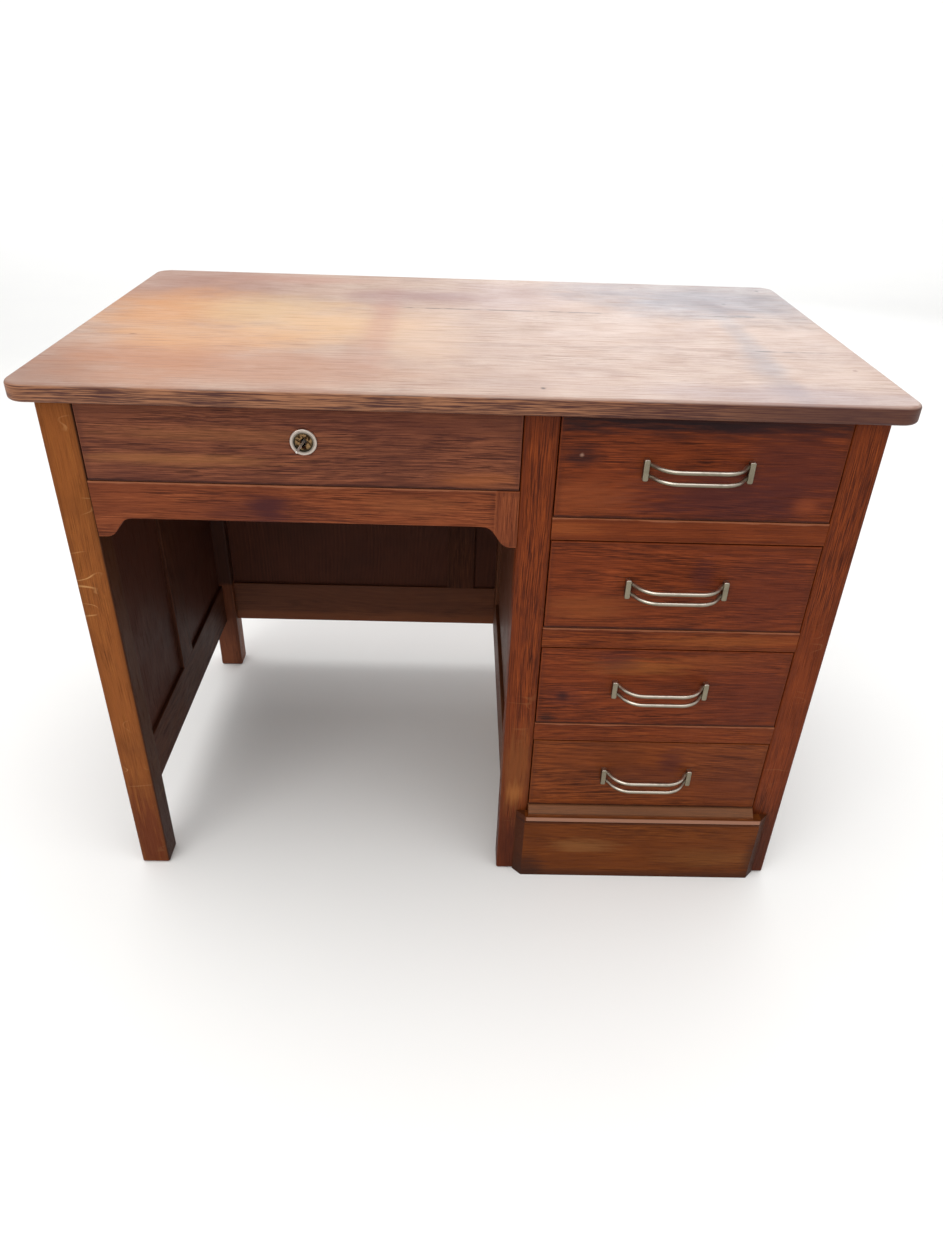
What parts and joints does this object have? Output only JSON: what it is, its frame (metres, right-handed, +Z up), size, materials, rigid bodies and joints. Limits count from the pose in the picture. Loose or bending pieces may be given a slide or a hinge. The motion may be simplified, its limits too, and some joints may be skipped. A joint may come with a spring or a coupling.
{
  "type": "teacher desk",
  "caption": "Oak teacher's desk with a knee hole, a lockable shallow drawer over it and a pedestal of deep drawers on the right, each drawer sliding out to the front.",
  "frame": {"origin": "on the floor, under the centre of the box that holds the desk with its handles", "axes": "+Z up, -Y out of the front where the drawers open, +X to the sitter's right, along the desk's length"},
  "size_m": [1.036, 0.6346, 0.77],
  "materials": {
    "oak_top": "worn varnish",
    "oak_legs": "worn varnish",
    "oak_panels": "worn varnish",
    "oak_frame": "worn varnish",
    "oak_inner": "bare planed wood",
    "oak_plinth": "worn varnish",
    "oak_front_rails": "worn varnish",
    "oak_fronts": "worn varnish",
    "nickel": "worn nickel plate",
    "lock_bezel": "worn nickel plate",
    "lock_steel": "plain steel"
  },
  "bodies": {
    "desk": {"top_board_front": "oak_top", "top_board_middle": "oak_top", "top_board_rear": "oak_top", "front_left_leg": "oak_legs", "front_centre_leg": "oak_legs", "front_right_leg": "oak_legs", "rear_left_leg": "oak_legs", "rear_right_leg": "oak_legs", "left_side_top_rail": "oak_frame", "left_side_bottom_rail": "oak_frame", "left_side_muntin": "oak_frame", "left_side_panels": "oak_panels", "right_side_top_rail": "oak_frame", "right_side_bottom_rail": "oak_frame", "right_side_muntin": "oak_frame", "right_side_panels": "oak_panels", "back_top_rail": "oak_frame", "back_bottom_rail": "oak_frame", "back_muntin": "oak_frame", "back_panels": "oak_panels", "pedestal_side_top_rail": "oak_frame", "pedestal_side_bottom_rail": "oak_frame", "pedestal_side_rear_stile": "oak_frame", "pedestal_side_panel": "oak_panels", "knee_rail": "oak_front_rails", "knee_rail_bracket_block": "oak_front_rails", "pedestal_rail_1": "oak_front_rails", "pedestal_rail_2": "oak_front_rails", "pedestal_rail_3": "oak_front_rails", "pedestal_sill_rail": "oak_plinth", "plinth_board": "oak_plinth", "drawer_runners": "oak_inner", "drawer_guides": "oak_inner"},
    "knee_drawer": {"knee_drawer_front": "oak_fronts", "knee_drawer_sides": "oak_inner", "knee_drawer_back": "oak_inner", "knee_drawer_bottom": "oak_inner", "lock_escutcheon": "lock_bezel", "lock_case": "lock_steel"},
    "lock_bolt": {"lock_bolt": "lock_steel"},
    "drawer_1": {"drawer_1_front": "oak_fronts", "drawer_1_sides": "oak_inner", "drawer_1_back": "oak_inner", "drawer_1_bottom": "oak_inner", "drawer_1_handle": "nickel"},
    "drawer_2": {"drawer_2_front": "oak_fronts", "drawer_2_sides": "oak_inner", "drawer_2_back": "oak_inner", "drawer_2_bottom": "oak_inner", "drawer_2_handle": "nickel"},
    "drawer_3": {"drawer_3_front": "oak_fronts", "drawer_3_sides": "oak_inner", "drawer_3_back": "oak_inner", "drawer_3_bottom": "oak_inner", "drawer_3_handle": "nickel"},
    "drawer_4": {"drawer_4_front": "oak_fronts", "drawer_4_sides": "oak_inner", "drawer_4_back": "oak_inner", "drawer_4_bottom": "oak_inner", "drawer_4_handle": "nickel"}
  },
  "joints": [
    {"name": "knee_drawer_slide", "type": "slide", "parent": "desk", "child": "knee_drawer", "axis": [0, -1, 0], "range_m": [0, 0.38]},
    {"name": "lock_bolt_slide", "type": "slide", "parent": "knee_drawer", "child": "lock_bolt", "axis": [0, 0, 1], "range_m": [0, 0.008]},
    {"name": "drawer_1_slide", "type": "slide", "parent": "desk", "child": "drawer_1", "axis": [0, -1, 0], "range_m": [0, 0.38]},
    {"name": "drawer_2_slide", "type": "slide", "parent": "desk", "child": "drawer_2", "axis": [0, -1, 0], "range_m": [0, 0.38]},
    {"name": "drawer_3_slide", "type": "slide", "parent": "desk", "child": "drawer_3", "axis": [0, -1, 0], "range_m": [0, 0.38]},
    {"name": "drawer_4_slide", "type": "slide", "parent": "desk", "child": "drawer_4", "axis": [0, -1, 0], "range_m": [0, 0.38]}
  ]
}
